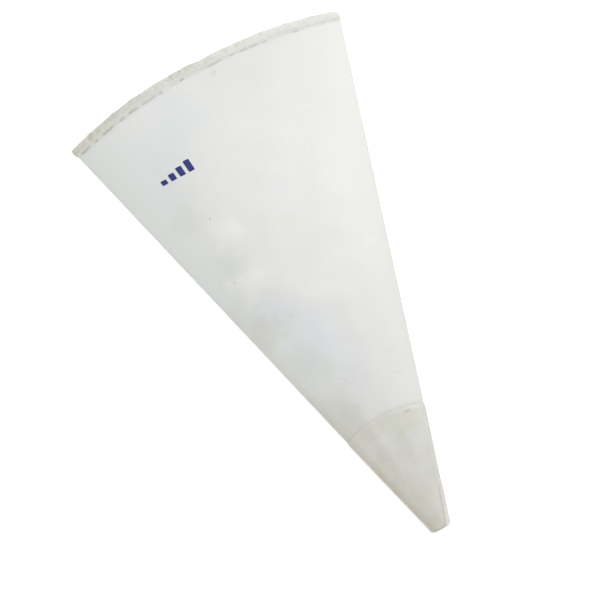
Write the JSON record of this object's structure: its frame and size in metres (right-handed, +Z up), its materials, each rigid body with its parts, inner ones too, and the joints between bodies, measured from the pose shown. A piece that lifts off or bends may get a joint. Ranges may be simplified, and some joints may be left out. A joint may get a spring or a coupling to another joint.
{
  "type": "piping bag",
  "caption": "Reusable conical piping bag of coated cotton with a turned, stitched mouth hem, a sewn side seam and a reinforced open tip, lying flat.",
  "frame": {"origin": "on the surface that the bag lies on, under the middle of its length and width", "axes": "+Y along the bag from the tip to the mouth, +X towards the side seam, +Z up out of the front layer"},
  "size_m": [0.1964, 0.34, 0.0112],
  "materials": {
    "coated_cotton": "white cotton with a smooth satin coating",
    "hem_cotton": "cream cotton, the coated panel's turned edge",
    "tip_cotton": "second layer of coated cotton, satin",
    "thread": "matt twisted sewing thread",
    "seam_tape": "satin heat-sealed tape",
    "ink": "matt printed ink"
  },
  "bodies": {
    "root": {"body_panel": "coated_cotton", "mouth_hem": "hem_cotton", "hem_needle_thread": "thread", "hem_bobbin_thread": "thread", "seam_allowance": "coated_cotton", "seam_tape": "seam_tape", "seam_thread": "thread", "tip_reinforcement": "tip_cotton", "tip_lap": "tip_cotton", "size_mark": "ink"}
  },
  "joints": []
}
